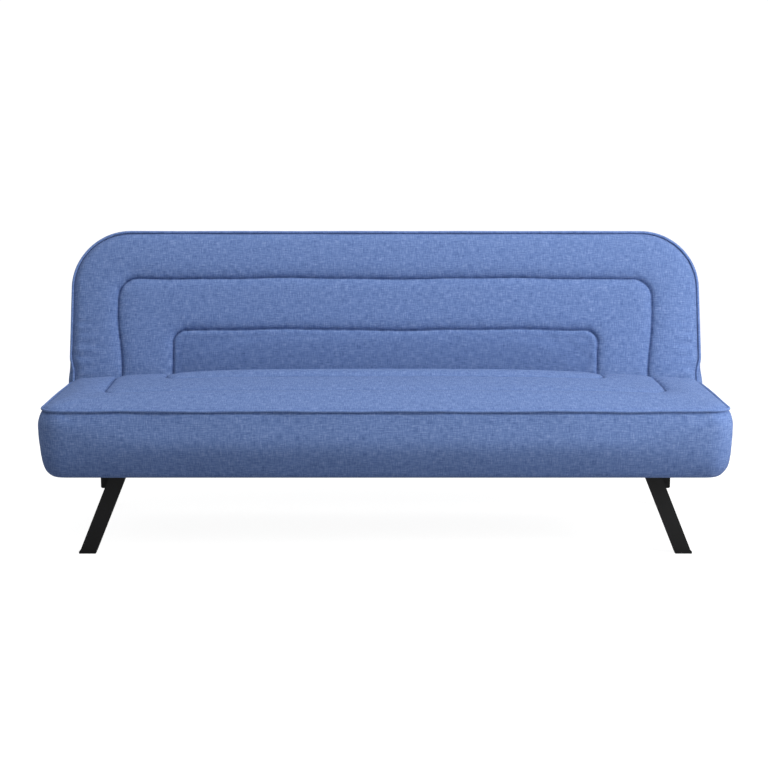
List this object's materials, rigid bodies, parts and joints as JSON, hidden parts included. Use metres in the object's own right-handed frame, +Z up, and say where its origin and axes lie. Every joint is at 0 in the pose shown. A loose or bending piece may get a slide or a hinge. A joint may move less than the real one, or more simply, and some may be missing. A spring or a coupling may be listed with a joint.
{
  "type": "sofa_bed",
  "caption": "Armless click-clack futon sofa bed in blue linen-like cloth: thick box seat, reclining rounded backrest with sewn U channels, black splayed steel legs.",
  "frame": {"origin": "on the floor under the middle of the upright sofa's bounding box", "axes": "+X across the width, +Y from the seat's front to the backrest's rear, +Z up"},
  "size_m": [1.842, 0.7687, 0.8249],
  "materials": {
    "linen": "matte",
    "welt": "matte",
    "foam": "matte",
    "lining": "matte",
    "black_steel": "satin",
    "spring_steel": "satin",
    "zinc": "satin",
    "plastic": "matte",
    "rubber": "matte"
  },
  "bodies": {
    "base": {"bracket_bolts": "black_steel", "buffer_pads": "rubber", "buffer_posts": "black_steel", "front_glide_left": "plastic", "front_glide_right": "plastic", "front_leg_bolts": "black_steel", "front_leg_left": "black_steel", "front_leg_right": "black_steel", "hinge_bracket_left": "black_steel", "hinge_bracket_right": "black_steel", "pivot_pin_left": "zinc", "pivot_pin_right": "zinc", "pivot_washers": "spring_steel", "rail_bolts": "black_steel", "rail_end_caps": "plastic", "ratchet_sector_left": "zinc", "ratchet_sector_right": "zinc", "rear_cross_tube": "black_steel", "rear_glide_left": "plastic", "rear_glide_right": "plastic", "rear_leg_bolts": "black_steel", "rear_leg_left": "black_steel", "rear_leg_right": "black_steel", "seat_cover": "linen", "seat_dust_cover": "lining", "seat_foam": "foam", "seat_frame": "black_steel", "seat_spring_clips": "spring_steel", "seat_springs": "spring_steel", "seat_welt": "welt", "side_rail_left": "black_steel", "side_rail_right": "black_steel"},
    "backrest": {"back_cover": "linen", "back_foam": "foam", "back_frame": "black_steel", "back_rear_panel": "lining", "back_spring_clips": "spring_steel", "back_springs": "spring_steel", "back_welt": "welt", "hinge_arm_bolts": "zinc", "hinge_arm_left": "black_steel", "hinge_arm_right": "black_steel", "pawl_pins": "zinc", "pawl_springs": "spring_steel"},
    "pawl_left_body": {"pawl_left": "zinc"},
    "pawl_right_body": {"pawl_right": "zinc"}
  },
  "joints": [
    {"name": "recline", "type": "hinge", "parent": "base", "child": "backrest", "pos_m": [0, 0.1797, 0.362], "axis": [-1, 0, 0], "range_deg": [-6, 72]},
    {"name": "pawl_left_turn", "type": "hinge", "parent": "backrest", "child": "pawl_left_body", "pos_m": [-0.7466, 0.22311, 0.39206], "axis": [1, 0, 0], "range_deg": [-5, 2.5]},
    {"name": "pawl_right_turn", "type": "hinge", "parent": "backrest", "child": "pawl_right_body", "pos_m": [0.7466, 0.22311, 0.39206], "axis": [1, 0, 0], "range_deg": [-5, 2.5]}
  ]
}
